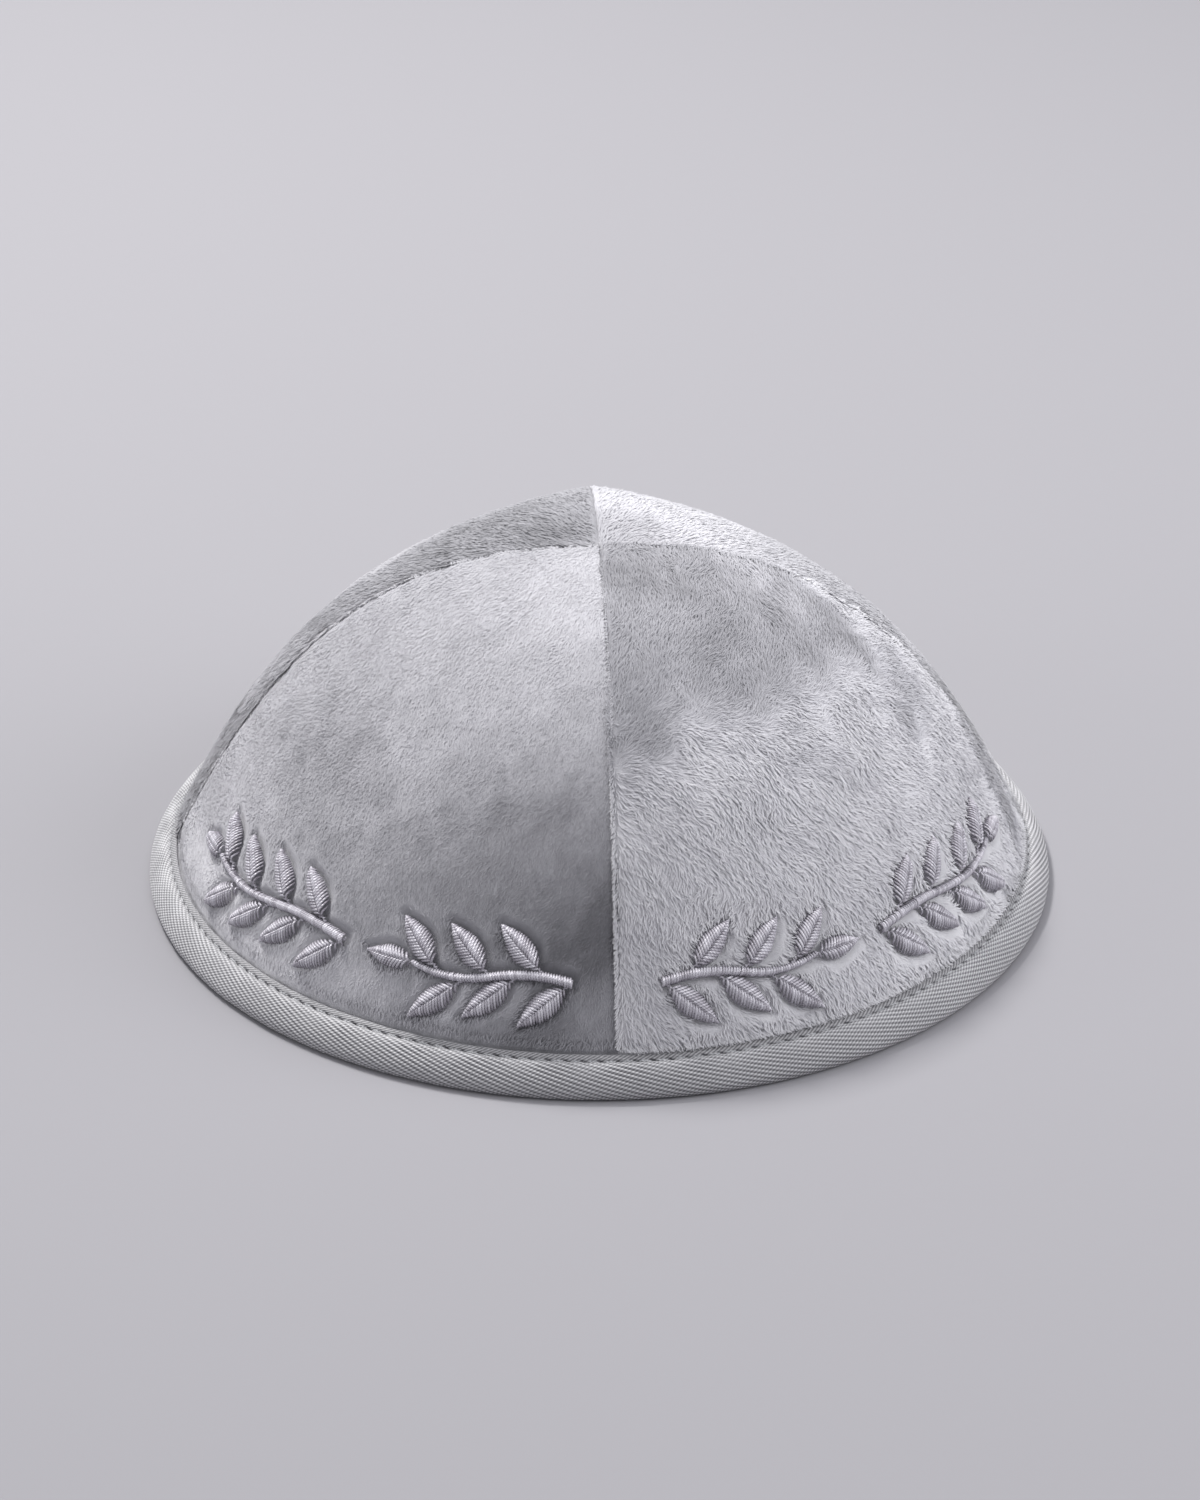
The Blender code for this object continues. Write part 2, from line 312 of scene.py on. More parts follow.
def shaded(tree, colour, factor):
    # a colour times a grey factor
    grey = addNode(tree, "CombineColor", {"Red": factor, "Green": factor, "Blue": factor})
    inputs = {"Factor": 1.0, 6: colour, 7: grey.outputs[0]}
    return addNode(tree, "Mix", inputs, data_type="RGBA", blend_type="MULTIPLY").outputs[2]


def dress(tree, shader, colour, height, distance):
    # the colour, and a bump of the height, which is worth a distance in metres
    bump = addNode(tree, "Bump", {"Height": height, "Distance": distance, "Strength": 1.0})
    tree.links.new(colour, shader.inputs["Base Color"])
    tree.links.new(bump.outputs["Normal"], shader.inputs["Normal"])


# camera, fitted to the rim, the seams and the outline in the photograph
cameraPlace = {
    "location": (-0.0284, -0.6879, 0.3931),
    "tilt": 28.24,     # degrees below the horizon
    "swing": -2.373,   # degrees to the left of straight on
    "lens": 100.0,
}


def makeCamera():
    data = bpy.data.cameras.new("camera")
    data.lens = cameraPlace["lens"]
    data.sensor_width = 36.0
    data.clip_start = 0.01
    data.clip_end = 50.0
    rotation = (np.radians(90.0 - cameraPlace["tilt"]), 0.0, np.radians(cameraPlace["swing"]))
    bpy.context.scene.camera = putObject("camera", data, cameraPlace["location"], rotation)


makeCamera()
print("camera placed")

# branches of leaves in satin stitch, with distances up the gore and round it from the front seam
branchForm = {
    "height": 11.6,
    "swing": 1.0,
    "stemWidth": 1.6,
    "stemTaper": 0.45,
    "leafLength": 10.2,
    "leafWidth": 4.3,
    "leafTilt": np.radians(42),
    "leafPitch": 4.75,
    "standoff": 0.45,                      # of a leaf's root from the stem
    "endLeaf": 0.87,                       # size of the leaf at the end
    "reach": 26.0,                         # rise above which nothing is near a branch
    "runs": ((6.0, 35.5), (39.5, 76.5)),   # degrees from the front seam
}
branchRadius = crownForm["edgeRadius"] * shareAt(branchForm["height"])
farAway = 99.0   # gap of a place that no leaf or stem is near


def branchEnds(run):
    # first and last place of a stem, which leaves room for the leaf that ends the branch
    first = np.radians(run[0]) * branchRadius
    reach = np.radians(run[1]) * branchRadius
    endLeaf = branchForm["endLeaf"] * branchForm["leafLength"]
    return first, reach - endLeaf - branchForm["standoff"]


def stemRise(along, first, last):
    # one sine wave about the branch's height
    wave = np.sin(2 * np.pi * (along - first) / (last - first))
    return branchForm["height"] + branchForm["swing"] * wave


def stemHalf(share):
    # half width, thinning with the square of the way along
    return 0.5 * branchForm["stemWidth"] * (1.0 - branchForm["stemTaper"] * share**2)


def leafHalf(share):
    # half width of a full leaf, a sine pushed towards its root
    share = np.clip(share, 0.0, 1.0)
    full = np.maximum(0.0, np.sin(np.pi * share**0.8)) ** 0.9
    return 0.5 * branchForm["leafWidth"] * np.maximum(0.08, full)


def leavesOf(run):
    # along, rise, heading and size of each leaf, alternately below and above its stem
    first, last = branchEnds(run)
    pitch = branchForm["leafPitch"]
    along = np.arange(first + 0.3 * pitch, last - 0.3 * pitch, pitch)
    upward = np.where(np.arange(len(along)) % 2 == 1, 1.0, -1.0)
    root = 0.5 * branchForm["stemWidth"] + branchForm["standoff"]
    rise = stemRise(along, first, last) + upward * root
    heading = upward * branchForm["leafTilt"]
    end = [[last + branchForm["standoff"], stemRise(last, first, last), 0.0, branchForm["endLeaf"]]]
    return np.concatenate([np.stack([along, rise, heading, np.ones(len(along))], axis=1), end])


def motifGap(along, rise):
    # distance from the nearest leaf or stem, less than nothing inside it
    def gapFrom(forward, sideways, length, halfAt, size=1.0):
        # from a shape that lies along a line and has its half width from its share of the length
        share = np.clip(forward / length, 0.0, 1.0)
        beyond = forward - share * length
        offset = np.abs(sideways) - size * halfAt(share)
        return np.where(beyond == 0, offset, np.hypot(beyond, np.maximum(offset, 0)))

    gap = np.full(np.shape(along), farAway)
    for run in branchForm["runs"]:
        first, last = branchEnds(run)
        offStem = rise - stemRise(np.clip(along, first, last), first, last)
        gap = np.minimum(gap, gapFrom(along - first, offStem, last - first, stemHalf))
        for leafAlong, leafRise, heading, size in leavesOf(run):
            forward, sideways = turned(along - leafAlong, rise - leafRise, heading)
            length = size * branchForm["leafLength"]
            gap = np.minimum(gap, gapFrom(forward, sideways, length, leafHalf, size))
    return gap


def fromFrontSeam(turn, quarter):
    # distance round a front gore from the front seam, measured at the branch
    return (turn if quarter == 3 else 1.0 - turn) * quarterTurn * branchRadius


def gapOnGore(share, turn, quarter):
    # motifGap for places on a gore, far away on a back gore and well above the branches
    share, turn = np.broadcast_arrays(share, turn)
    gap = np.full(share.shape, farAway)
    rise = riseAt(share)
    if quarter >= 2:
        near = rise < branchForm["reach"]
        gap[near] = motifGap(fromFrontSeam(turn, quarter)[near], rise[near])
    return gap


def onGore(along, rise, side, lift):
    # places above a front gore, and the ways outwards there; side is 1 on the right
    quarter = 3 if side > 0 else 2
    turn = along / branchRadius / quarterTurn
    turn = turn if side > 0 else 1.0 - turn
    places, outward, _, _ = crownFrame(shareAt(rise), quarter, turn)
    return places + outward * lift[..., None], outward


# binding: the solids' folded tape, with its twill ridges, stitch groove and needle holes
tapeForm = {
    "rimRadius": 85.0,
    "kick": np.radians(50),      # of the hem above the horizontal
    "hemLength": 4.7,
    "hemOut": -1.4,              # the hem's outer face, behind the tape's outer face
    "hemIn": -2.4,
    "clearance": 0.3,
    "tape": 1.1,
    "rollRadius": 1.85,
    "rollFlat": 0.35,
    "rollStart": np.radians(35),
    "puff": 0.45,
    "legFoot": 4.0,
    "legRise": 1.2,
    "stitchLine": 1.3,           # below the tape's top edge
    "stitchRow": 7,              # of the profile's places, the one on that line
    "groove": 0.26,
    "grooveHalf": 0.34,
    "stripSink": 0.30,           # of the strip above the stitches, behind the puffed tape
    "holeDepth": 0.42,
    "holeLength": 0.34,
    "holeWidth": 0.15,
    "stitches": 168,
    "pucker": 0.07,              # in under the needle holes and out between them
    "puckerBelow": 1.4,          # the stitch line
    "unevenness": (0.045, 0.03),   # broad and fine
    "ridges": 208,
    "columnsPerRidge": 7,
    "ridgeHeight": 0.14,
    "twill": np.radians(17),     # of the ridges to the tape's length
    "floats": 0.52,              # pitch of the threads that cross a ridge
    "floatTurn": 0.7,            # of their steps, beyond the twill
    "stops": [(0.0, (0.07, 0.069, 0.08)), (0.28, (0.20, 0.198, 0.212)), (0.95, (0.74, 0.735, 0.76))],
}


def hemPoint(along, out):
    # radius and height at a distance down the kicked-out hem, and out from it
    along = np.asarray(along)
    kick = tapeForm["kick"]
    radius = crownForm["edgeRadius"] + along * np.cos(kick) + out * np.sin(kick)
    height = crownForm["edgeHeight"] - along * np.sin(kick) + out * np.cos(kick)
    return np.stack([radius, height], axis=-1)


# cloth of the gores, from the dense pile in to the bare side
clothForm = {
    "fineRise": 27.0,      # below this height up the gore the rows are closer
    "motifSink": 0.75,     # how far stitching pulls the plush down
    "motifShoulder": 1.8,  # and how far from the stitching it has risen again
    "unevenness": 0.10,
    "hemRows": (-0.1, 0.6, 2.5, tapeForm["hemLength"]),   # ways down the hem, inside the binding
    "hemShares": (0.99, 1.0, 1.02, 1.05),                 # and what they count as in the flat maps
    "hemPitch": 100.0,     # millimetres there for a whole share past the edge
    "wale": 0.9,           # pitches of the knitted back
    "course": 0.7,
    "zigzag": 0.35,
    "stops": [(0.1, (0.36, 0.356, 0.375)), (0.5, (0.52, 0.514, 0.54)), (0.9, (0.66, 0.652, 0.68))],
}


def clothPlace(share, quarter, turn):
    # the pile's tips moved in by its depth, in at the seams, and in round the stitching, with a
    # soft unevenness
    places, outward, around, down = crownFrame(share, quarter, turn)
    gap = gapOnGore(share, turn, quarter)
    x, y = flatPlace(share, turn)
    uneven = softNoise(x / 5.5, y / 5.5, 61) + 0.5 * softNoise(x / 2.1, y / 2.1, 62)
    uneven = clothForm["unevenness"] * uneven
    sink = clothForm["motifSink"] * (1.0 - ease(gap / clothForm["motifShoulder"])) - uneven
    places = sinkAtSeam(places, share, turn) - outward * (crownForm["pileDepth"] + sink)[..., None]
    return places, outward, around, down, gap


def makeCloth(name, look, pileMaterial, clothMaterial):
    # a sheet of rows down the gore and columns round it, its outside and its bare inside a wall
    # apart, joined along every border; the rows end inside the fold of the binding
    quarter = look["quarter"]
    upper, lower, columns = look["grid"]
    even = np.linspace(0.0, 1.0, columns)
    turn = (even - 0.07 * np.sin(2 * np.pi * even))[None, :]
    rise = np.concatenate([
        np.linspace(slopeWay[-1], clothForm["fineRise"], upper, endpoint=False),
        np.linspace(clothForm["fineRise"], riseAt(0.985), lower),
    ])
    share = shareAt(rise)[:, None]
    outer = clothPlace(share, quarter, turn)[0]
    inner = crown(0.99 * share, quarter, turn, inset=crownForm["wall"])
    angle = (quarter + turn) * quarterTurn
    sides = []
    for sheet, out in ((outer, tapeForm["hemOut"]), (inner, tapeForm["hemIn"])):
        hem = hemPoint(clothForm["hemRows"], out)
        sides.append(np.concatenate([sheet, atAngle(hem[:, :1], angle, hem[:, 1:])]))
    rows = len(sides[0])
    points = np.concatenate([side.reshape(-1, 3) for side in sides])
    quads = gridFaces(rows, columns)
    count = rows * columns
    index = np.arange(count).reshape(rows, columns)
    borders = []
    for line in (index[:, 0], index[-1], index[::-1, -1]):
        borders.append(np.stack([line[:-1], line[1:], line[1:] + count, line[:-1] + count], axis=1))
    faces = [np.concatenate([quads[:, ::-1], quads + count, *borders])]

    # flat maps in millimetres: plain for the knitted side, and along the combing for the pile
    share = np.concatenate([share, np.array(clothForm["hemShares"])[:, None]])
    x, y = flatPlace(share, turn)
    y = y + clothForm["hemPitch"] * np.maximum(0.0, share - 1.0)
    lie = lieOfPile(look, np.minimum(share, 1.0), turn)
    # the dense pile carries the pile's tone with its painted sheen and shade, and a green that darkens it
    # as painted shade beneath the tufts
    tone = np.stack(np.broadcast_arrays(lie["tone"], 0.62, 0.5), axis=-1)
    flat = {"cloth": (x, y), "combed": (lie["across"], lie["along"])}
    maps = {key: np.tile(np.stack(pair, axis=-1).reshape(-1, 2), (2, 1)) for key, pair in flat.items()}
    tone = np.tile(tone.reshape(-1, 3), (2, 1))
    bareSide = (clothMaterial, len(quads))
    piece = putMesh(name, points, faces, pileMaterial, maps, tone, second=bareSide)
    weld = piece.modifiers.new("closeTop", "WELD")
    weld.merge_threshold = 0.00001
    return piece


def makeClothMaterial():
    # knitted back of the plush: wales along the gore, and courses that zigzag across them
    look = {"Roughness": 0.92, "Specular IOR Level": 0.15, "Sheen Weight": 0.25}
    material, tree, shader = newMaterial("plushGround", look)
    x, y = mapParts(tree, "cloth")
    wale = wave(tree, x, clothForm["wale"])
    zigzag = mathNode(tree, "PINGPONG", mathNode(tree, "MULTIPLY", x, 2 / clothForm["wale"]), 1.0)
    course = wave(tree, addUp(tree, y, (zigzag, clothForm["zigzag"])), clothForm["course"])
    knit = addUp(tree, mathNode(tree, "ABSOLUTE", wale), (course, 0.4))
    mottle = noiseNode(tree, 90.0, 4.0)
    fluff = noiseNode(tree, 1600.0)
    shade = addUp(tree, 0.0, (knit, 0.16), (mottle, 0.5), (fluff, 0.2))
    height = addUp(tree, knit, (fluff, 0.5))
    dress(tree, shader, colourRamp(tree, shade, clothForm["stops"]), height, 0.00018)
    return material


# how the pile lies on each gore. Comb is its heading in degrees, 0 round the gore to the right and
# 90 down it, waver how far it swings aside, and locks the width and length of the locks that its
# tufts draw into, in millimetres, clump how strongly, and stray the spread of single tufts. Lean is
# the angles of a tuft's lower and upper part from upright. Tone is the shade from 0 to 1: the grey
# of the plush together with painted sheen of the way its nap lies. It is lowered by lockShade, which
# is painted shade in the valleys between locks, changed by mottle in random patches, and by seamTone,
# painted sheen and shade of the tufts at a seam. SeamLean is how far tufts lean over the seam where
# turn is 0 and over the other, by the top and below. Grid is the cloth's rows above and below
# fineRise, and its columns. Fringe counts the tufts close beside the seams, and roundness is that of
# the shading across a tuft. From the top to the brushed edge, given as (turn, share), the pile is
# brushed another way, and its tone there is lowered by painted sheen. Marks are places where a hand
# has stroked the pile, and places of painted sheen and painted shade: share, turn, width and height
# in millimetres, slant in degrees, change of shade, which is painted, and change of heading
frontPile = {
    "grid": (44, 60, 170),
    "halfWidth": 0.085,
    "roundness": 0.25,
    "mottle": 0.036,
    "brushed": (),
    "brushedSheenTone": 0.0,
    "brushedComb": 0.0,
}
backPile = {
    **frontPile,
    "grid": (40, 24, 80),
    "tufts": 34000,
    "fringe": 1600,
    "length": 1.8,
    "halfWidth": 0.12,
    "lean": (72.0, 85.0),
    "locks": (0.6, 2.4),
    "waver": 1.4,
}
pileLooks = {
    "panel_front_right": {
        **frontPile,
        "quarter": 3,
        "tufts": 51000,
        "fringe": 2400,
        "length": 1.9,
        "lean": (72.0, 84.0),
        "locks": (0.5, 1.5),
        "lockShade": 0.12,
        "comb": 70.0,
        "waver": 2.8,
        "stray": 11.0,
        "clump": 0.6,
        "tone": 0.84,
        "seamTone": 0.06,
        "seamLean": ((0.0, 0.95), (0.5, 0.5)),
        "brushed": ((0.0, 0.66), (0.1, 0.64), (0.22, 0.60), (0.34, 0.60), (0.47, 0.61),
                    (0.61, 0.59), (0.72, 0.60), (0.85, 0.64), (0.93, 0.52), (1.0, 0.36)),
        "brushedSheenTone": -0.47,
        "brushedComb": -120.0,
        "marks": (
            (0.56, 0.05, 7, 22, 0, -0.04, 0), (0.24, 0.65, 12, 12, 0, -0.07, 0),
            (0.69, 0.46, 9, 6, 20, -0.20, -30), (0.70, 0.84, 10, 10, 30, -0.36, -40),
            (0.57, 0.22, 8, 6, -15, 0.10, 30), (0.14, 0.56, 9, 16, 0, -0.06, 0),
            (0.44, 0.42, 14, 6, -25, -0.05, 40), (0.48, 0.72, 5, 12, 20, -0.04, -30),
            (0.43, 0.80, 12, 12, 0, 0.07, 0), (0.20, 0.20, 7, 12, 0, -0.08, 0),
            (0.30, 0.97, 5, 22, 0, 0.10, 0), (0.90, 0.96, 8, 16, 0, -0.48, 0),
            (0.12, 0.90, 5, 8, 0, 0.08, 0), (0.17, 0.05, 4, 8, 0, -0.06, 0),
            (0.88, 0.02, 5, 16, 0, -0.08, 0), (0.97, 0.55, 50, 6, 0, 0.10, 14),
        ),
    },
    "panel_front_left": {
        **frontPile,
        "quarter": 2,
        "tufts": 52000,
        "fringe": 2200,
        "length": 1.15,
        "lean": (72.0, 85.0),
        "locks": (0.5, 1.2),
        "lockShade": 0.06,
        "comb": -78.0,
        "waver": 1.2,
        "stray": 18.0,
        "clump": 0.25,
        "tone": 0.53,
        "seamTone": 0.12,
        "seamLean": ((0.8, 0.8), (0.9, 0.0)),
        "marks": (
            (0.24, 0.75, 18, 20, 0, 0.04, 0), (0.88, 0.87, 46, 35, 0, -0.22, 0),
            (0.87, 0.96, 20, 12, 10, -0.18, 30), (0.92, 0.97, 12, 22, 0, -0.14, 0),
            (0.74, 0.74, 20, 5, -20, -0.07, 25), (0.62, 0.60, 16, 6, 15, -0.04, -25),
            (0.72, 0.25, 14, 9, -30, -0.05, 30), (0.76, 0.36, 17, 13, -15, -0.10, 0),
            (0.88, 0.08, 16, 22, 0, 0.08, 0), (0.965, 0.40, 54, 7, 0, 0.30, 0),
            (0.95, 0.97, 6, 7, 0, 0.16, -20), (0.95, 0.80, 13, 5, -8, 0.16, 30),
            (0.90, 0.66, 9, 6, 25, 0.12, -30), (0.98, 0.90, 9, 4, 0, -0.12, 20),
        ),
    },
    "panel_back_left": {
        **backPile,
        "quarter": 1,
        "lockShade": 0.03,
        "mottle": 0.035,
        "comb": 80.0,
        "stray": 7.0,
        "clump": 0.25,
        "tone": 0.30,
        "seamTone": 0.04,
        "seamLean": ((0.0, 0.0), (0.1, 0.1)),
        "marks": (
            (0.14, 0.55, 8, 7, 0, -0.12, 0), (0.32, 0.55, 16, 11, 0, -0.09, 0),
            (0.60, 0.60, 18, 14, 20, 0.16, 30), (0.75, 0.90, 12, 24, 0, 0.12, 0),
        ),
    },
    "panel_back_right": {
        **backPile,
        "quarter": 0,
        "lockShade": 0.02,
        "mottle": 0.02,
        "comb": 98.0,
        "stray": 6.0,
        "clump": 0.15,
        "tone": 0.49,
        "seamTone": -0.10,
        "seamLean": ((0.3, 0.3), (0.5, 0.5)),
        "marks": (
            (0.32, 0.50, 30, 24, 0, 0.19, 0), (0.10, 0.80, 9, 12, 0, -0.12, 0),
            (0.87, 0.08, 12, 15, 0, -0.26, 0), (0.70, 0.60, 22, 9, 15, -0.10, 40),
        ),
    },
}
pileStops = [
    (0.0, (0.198, 0.196, 0.214)),
    (0.35, (0.428, 0.424, 0.457)),
    (0.65, (0.697, 0.690, 0.732)),
    (1.0, (0.928, 0.921, 0.955)),
]


def tuftPlaces(quarter, count, rng):
    # rows an equal distance apart down the gore, each holding as many tufts as its length takes,
    # so that every tuft stands in the same small square of cloth, moved at random inside it
    rings = crown(slopeShares[:, None], quarter, np.linspace(0.0, 1.0, 41)[None, :])
    girth = np.linalg.norm(np.diff(rings, axis=1), axis=2).sum(axis=1)
    area = (0.5 * (girth[1:] + girth[:-1]) * np.diff(slopeWay)).sum()
    spacing = np.sqrt(area / count)
    middles = np.arange(spacing / 2, slopeWay[-1] - 0.2, spacing)
    inRow = np.maximum(1, np.round(np.interp(middles, slopeWay, girth) / spacing)).astype(int)
    row = np.repeat(np.arange(len(middles)), inRow)
    column = np.arange(inRow.sum()) - np.repeat(np.cumsum(inRow) - inRow, inRow)
    way = middles[row] + spacing * rng.uniform(-0.5, 0.5, len(row))
    turn = (column + rng.uniform(0.0, 1.0, len(row))) / inRow[row]
    return np.interp(way, slopeWay, slopeShares), turn


def fringePlaces(count, rng):
    # close beside both seams, evenly down them
    way = slopeWay[-1] * np.linspace(0.01, 0.995, count)
    share = np.interp(way, slopeWay, slopeShares)
    fromSeam = rng.uniform(0.1, 0.45, count) / (crownForm["edgeRadius"] * share * quarterTurn)
    atSecond = np.arange(count) % 2 == 1
    return share, np.where(atSecond, 1.0 - fromSeam, fromSeam)


def shadeAndStrokeMarks(look, x, y):
    # change of shade, which is painted sheen and shade, and of heading, each mark a soft oval with an
    # uneven edge
    tone = np.zeros(x.shape)
    comb = np.zeros(x.shape)
    uneven = 3.5 * softNoise(x / 3.1, y / 3.1, 71) + 2.2 * softNoise(x / 1.2, y / 1.2, 72)
    for share, turn, wide, tall, slant, shade, sweep in look["marks"]:
        markX, markY = flatPlace(share, turn)
        across, along = turned(x - markX, y - markY, np.radians(slant))
        weight = 1.25 - np.hypot(across / wide, along / tall) + uneven / max(9.0, np.sqrt(wide * tall))
        weight = ease(weight)
        tone += shade * weight
        comb += sweep * weight
    return tone, comb


def flow(x, y, comb, swing, seed):
    # distances across and along pile that is combed at an angle and swings to and fro, and its
    # heading; across = distance across + swing * soft noise, and the heading is that of the lines
    # on which across stays the same, from its differences over a small step
    def across(x, y):
        noise = softNoise(x / 8.0, y / 8.0, seed) + 0.27 * softNoise(x / 3.4, y / 3.4, seed + 40)
        return turned(x, y, comb)[1] + swing * noise

    step = 0.05
    slopeX = across(x + step, y) - across(x - step, y)
    slopeY = across(x, y + step) - across(x, y - step)
    heading = np.arctan2(-slopeX, slopeY)
    return across(x, y), turned(x, y, comb)[0], heading


def lieOfPile(look, share, turn):
    # how the pile lies at each place: its shade, which is the plush's grey with painted sheen of the nap
    # and painted shade between the locks, its heading, and the locks that its tufts draw into, which are
    # soft noise on the flat gore stretched along the flow
    quarter = look["quarter"]
    x, y = flatPlace(share, turn)
    broad = softNoise(x / 9.0, y / 9.0, 31 + quarter)
    patch = softNoise(x / 3.6, y / 3.6, 41 + quarter)
    fine = softNoise(x / 1.1, y / 1.1, 51 + quarter)
    paintedMarkShade, markComb = shadeAndStrokeMarks(look, x, y)
    brushed = np.zeros(np.shape(x))
    if look["brushed"]:
        edge = np.array(look["brushed"])
        lower = np.interp(turn, edge[:, 0], edge[:, 1]) + 0.03 * patch + 0.012 * fine
        brushed = ease((lower - share) / 0.11 + 0.5)
    across, along, heading = flow(x, y, np.radians(look["comb"]), look["waver"], 11 + quarter)
    heading = heading + np.radians(look["brushedComb"] * brushed + markComb)
    wide, long = look["locks"]

    def locks(offset):
        return softNoise((across + offset) / wide, along / long, 21 + quarter)

    lock = locks(0.0)
    smooth = 1.0 - 0.4 * brushed
    # valley holds the painted shade between the locks; the tone adds the painted sheen of the brushed part
    # and of the marks
    valley = ease((-lock - 0.15) / 0.6)
    tone = look["tone"] + look["brushedSheenTone"] * brushed + paintedMarkShade
    tone = tone + look["mottle"] * (broad + patch + 0.7 * fine) - look["lockShade"] * valley * smooth
    return {"tone": np.clip(tone, 0.02, 1.0), "heading": heading, "along": along, "across": across,
            "lock": lock * smooth, "pull": (locks(0.2) - locks(-0.2)) * smooth}


def awayFromMotif(share, turn, quarter, around, down):
    # the way in which the distance from the stitching grows, from differences over a small step
    step = 0.01
    along = fromFrontSeam(turn, quarter)
    rise = riseAt(share)
    widening = motifGap(along + step, rise) - motifGap(along - step, rise)
    rising = motifGap(along, rise + step) - motifGap(along, rise - step)
    widening = widening if quarter == 3 else -widening
    return unit(around * widening[:, None] - down * rising[:, None])


# one tuft, and how it changes in the middle of a lock and at a seam
tuftForm = {
    "knee": 0.66,          # way up it to the bend
    "rootDepth": 0.12,
    "rootWidth": 0.8,      # of the width at the knee
    "twist": 0.12,         # of the blade, and of its upper part to the side
    "unevenLength": 0.13,
    "unevenLean": 3.0,     # degrees, as the next ones
    "lockLength": 0.10,
    "lockLean": -4.0,
    "seamLength": -0.40,
    "seamLean": -22.0,
    "drawIn": 0.9,         # swing of its lean towards the middle of a lock
    "seamReach": 0.7,      # how near to a seam tufts lean over it
    "seamWays": (0.75, 0.65),   # that lean across the seam and down it
    "seamChange": (0.42, 0.2),  # share where seamLean starts to change downwards, and over how much
    "noTuft": 0.05,        # gap round the stitching without tufts
    "nearMotif": 2.6,      # gap within which they are cut short
    "overMotif": 0.25,     # and how far they may reach over the stitching
    "shortest": 0.5,
    # the green below darkens each tuft towards its root, as painted shade
    "heights": (0.35, 0.35, 0.75, 0.75, 1.0),   # green of the tone at its five corners
    "inCell": ((0.2, 0.1), (0.8, 0.1), (0.15, 0.55), (0.85, 0.55), (0.5, 0.92)),
}


